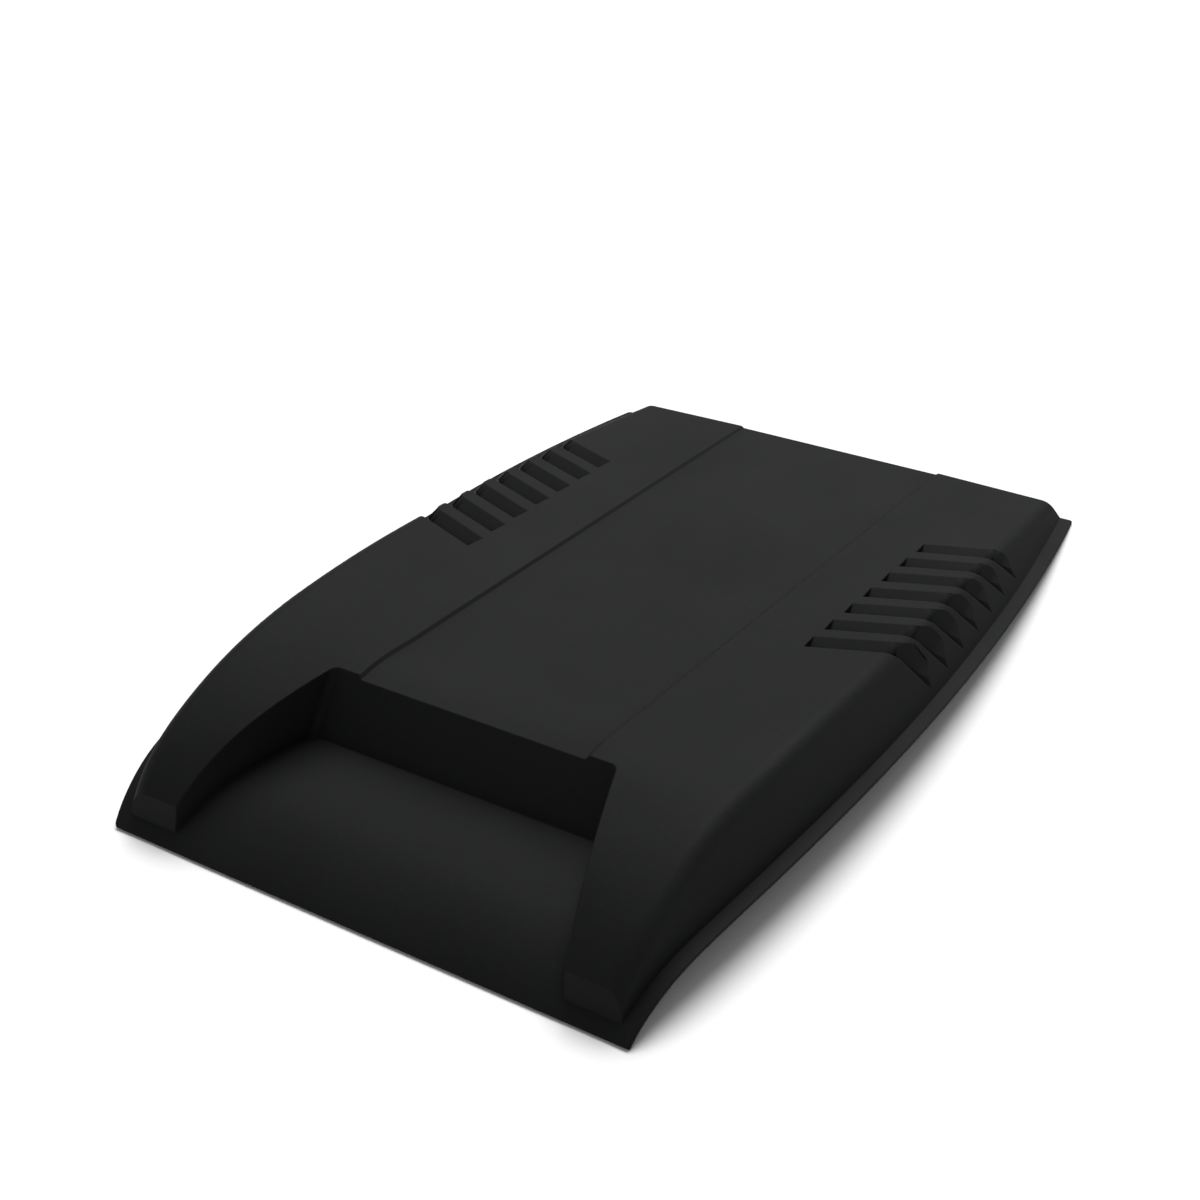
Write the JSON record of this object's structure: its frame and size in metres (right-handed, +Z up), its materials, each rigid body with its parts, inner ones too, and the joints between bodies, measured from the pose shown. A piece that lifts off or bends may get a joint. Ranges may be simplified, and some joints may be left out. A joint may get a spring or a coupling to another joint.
{
  "type": "bonnet scoop",
  "caption": "Full-length bonnet scoop in thin matte black plastic, with a blind front mouth, a sunk roof panel, louvred shoulders and a narrow flange, open underneath.",
  "frame": {"origin": "middle of the length and width, on the floor that the front and back flange corners rest on", "axes": "+X to the right as seen in the picture, -Y to the front edge, +Y to the back edge, +Z up"},
  "size_m": [0.732, 1.006, 0.1187],
  "materials": {
    "shell": "matte black moulded plastic with a very fine grain and a soft sheen"
  },
  "bodies": {
    "root": {"bonnet_scoop": "shell"}
  },
  "joints": []
}
